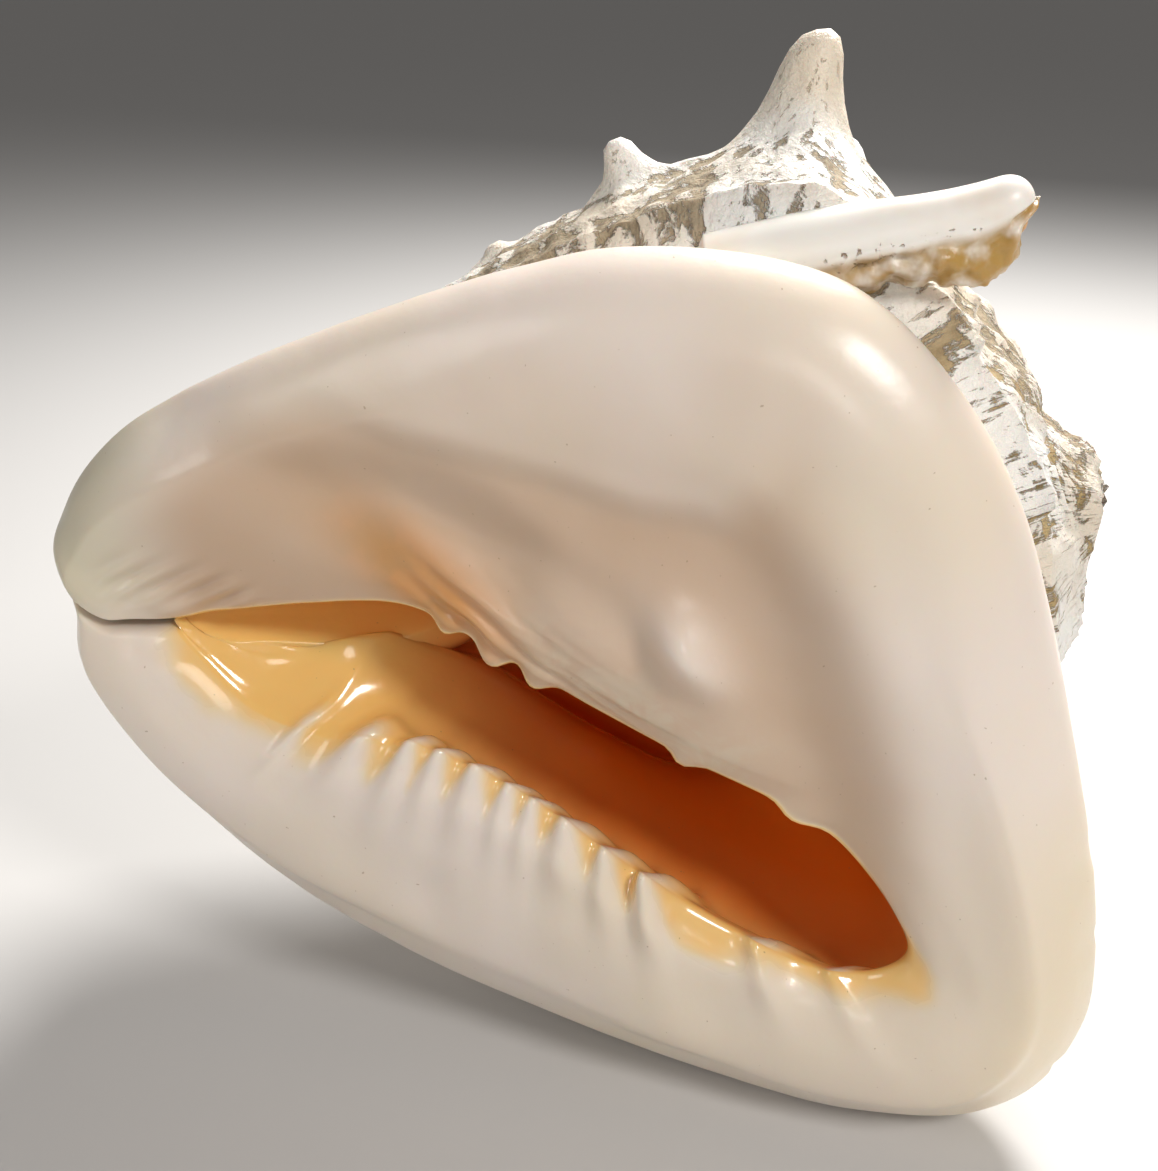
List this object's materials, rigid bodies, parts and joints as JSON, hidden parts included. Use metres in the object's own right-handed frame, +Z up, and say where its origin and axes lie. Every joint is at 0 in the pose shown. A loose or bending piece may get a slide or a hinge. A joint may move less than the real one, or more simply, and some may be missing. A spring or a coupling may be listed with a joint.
{
  "type": "helmet shell",
  "caption": "Large horned helmet sea shell resting on its outer lip, with a glossy shield, toothed lip, open orange mouth and a knobbed white back.",
  "frame": {"origin": "centre of the bounding box's bottom face, on the surface the shell rests on", "axes": "+Z up, the open mouth faces -Y turned 16 degrees, the canal end is towards -X and the spire towards +X and +Y"},
  "size_m": [0.2326, 0.1852, 0.2257],
  "materials": {
    "shell": "glossy porcelain-like shield and mouth, dull pitted back"
  },
  "bodies": {
    "root": {"shell": "shell"}
  },
  "joints": []
}
